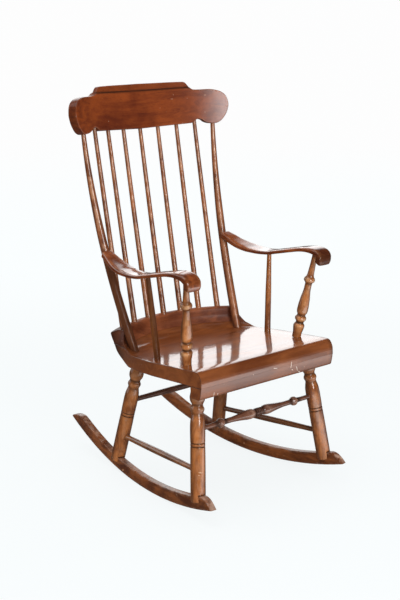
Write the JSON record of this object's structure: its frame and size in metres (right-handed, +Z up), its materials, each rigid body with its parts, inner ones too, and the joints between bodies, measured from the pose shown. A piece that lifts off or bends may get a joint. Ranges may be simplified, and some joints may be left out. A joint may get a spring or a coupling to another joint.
{
  "type": "boston rocking chair",
  "caption": "Wooden rocking chair with a tall spindle back, shaped crest rail, rolled seat, scrolled arms on turned posts, and legs slotted over curved rockers.",
  "frame": {"origin": "on the floor under the middle of the chair's box, between the rockers", "axes": "+Z up, +X to the sitter's right hand as seen from the front (the picture's right), the sitter faces -Y"},
  "size_m": [0.574, 0.7288, 1.0896],
  "materials": {
    "crest_board": "mottled red-brown stain under glossy varnish",
    "seat_board": "dark red-brown stain under glossy varnish, worn along the front",
    "arm_wood": "red-brown stain under glossy varnish, darker on the curl",
    "turned_wood": "amber-brown stain, worn golden on the beads",
    "bent_wood": "brown stain with a satin highlight along each rod",
    "rocker_wood": "orange-brown stain, chipped and rubbed along the edges",
    "peg_wood": "end grain of small pegs, nearly flush"
  },
  "bodies": {
    "root": {"crest_rail": "crest_board", "seat_plank": "seat_board", "seat_front_roll": "seat_board", "seat_back_roll": "seat_board", "arm_left": "arm_wood", "arm_right": "arm_wood", "front_leg_left": "turned_wood", "front_leg_right": "turned_wood", "rear_leg_left": "turned_wood", "rear_leg_right": "turned_wood", "front_stretcher": "turned_wood", "rear_stretcher": "turned_wood", "side_stretcher_left": "turned_wood", "side_stretcher_right": "turned_wood", "arm_post_left": "turned_wood", "arm_post_right": "turned_wood", "arm_spindle_left": "turned_wood", "arm_spindle_right": "turned_wood", "stile_left": "bent_wood", "stile_right": "bent_wood", "back_spindle_1": "bent_wood", "back_spindle_2": "bent_wood", "back_spindle_3": "bent_wood", "back_spindle_4": "bent_wood", "back_spindle_5": "bent_wood", "back_spindle_6": "bent_wood", "back_spindle_7": "bent_wood", "rocker_left": "rocker_wood", "rocker_right": "rocker_wood", "front_peg_left": "peg_wood", "front_peg_right": "peg_wood", "rear_peg_left": "peg_wood", "rear_peg_right": "peg_wood"}
  },
  "joints": []
}
